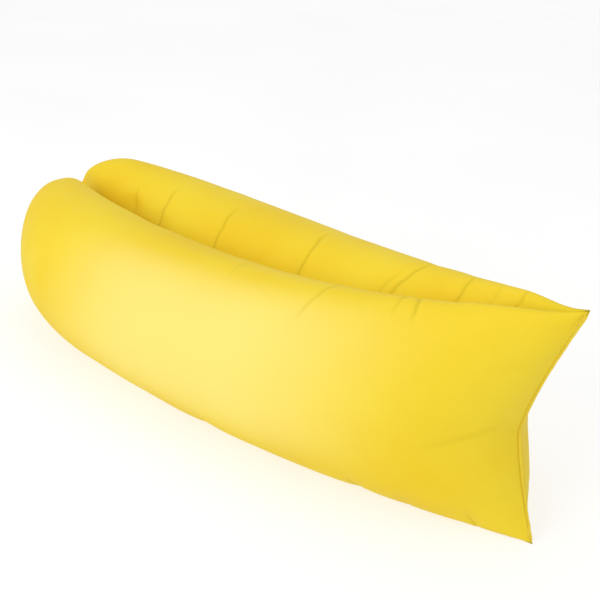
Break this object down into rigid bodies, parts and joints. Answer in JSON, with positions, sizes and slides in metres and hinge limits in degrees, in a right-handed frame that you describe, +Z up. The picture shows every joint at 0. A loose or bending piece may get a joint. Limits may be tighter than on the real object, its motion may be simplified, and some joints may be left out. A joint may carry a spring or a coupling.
{
  "type": "inflatable air lounger",
  "caption": "Inflated air lounger: two long fabric chambers side by side, sewn flat at the tall end, rolled up and buckled at the other.",
  "frame": {"origin": "middle of the lounger's outline on the ground, at ground level", "axes": "+X along the lounger to the sewn closed end, -X to the rolled mouth, near chamber at -Y, +Z up"},
  "size_m": [1.9924, 0.8584, 0.661],
  "materials": {
    "sleeve_fabric": "coated nylon, fine plain weave, soft sheen",
    "liner_film": "polyethylene film",
    "seam_tape": "woven binding tape",
    "strip_plastic": "flexible strip",
    "webbing": "25 mm woven webbing",
    "buckle_plastic": "moulded acetal, fine grain"
  },
  "bodies": {
    "bag": {"near_chamber": "sleeve_fabric", "far_chamber": "sleeve_fabric", "near_liner": "liner_film", "far_liner": "liner_film", "centre_seam_tape": "seam_tape", "end_seam_binding": "seam_tape", "mouth_roll": "sleeve_fabric", "inner_lip_strip": "strip_plastic", "outer_lip_strip": "strip_plastic", "near_throat": "sleeve_fabric", "far_throat": "sleeve_fabric", "upper_strap": "webbing", "lower_strap": "webbing", "buckle_female": "buckle_plastic", "buckle_male": "buckle_plastic"},
    "near_prong": {"near_prong": "buckle_plastic"},
    "far_prong": {"far_prong": "buckle_plastic"}
  },
  "joints": [
    {"name": "near_prong_squeeze", "type": "hinge", "parent": "bag", "child": "near_prong", "pos_m": [-0.98615, -0.0095, 0.223], "axis": [-1, 0, 0], "range_deg": [0, 10], "stiffness_Nm_per_rad": 0.6},
    {"name": "far_prong_squeeze", "type": "hinge", "parent": "bag", "child": "far_prong", "pos_m": [-0.98615, 0.0095, 0.223], "axis": [1, 0, 0], "range_deg": [0, 10], "stiffness_Nm_per_rad": 0.6}
  ]
}
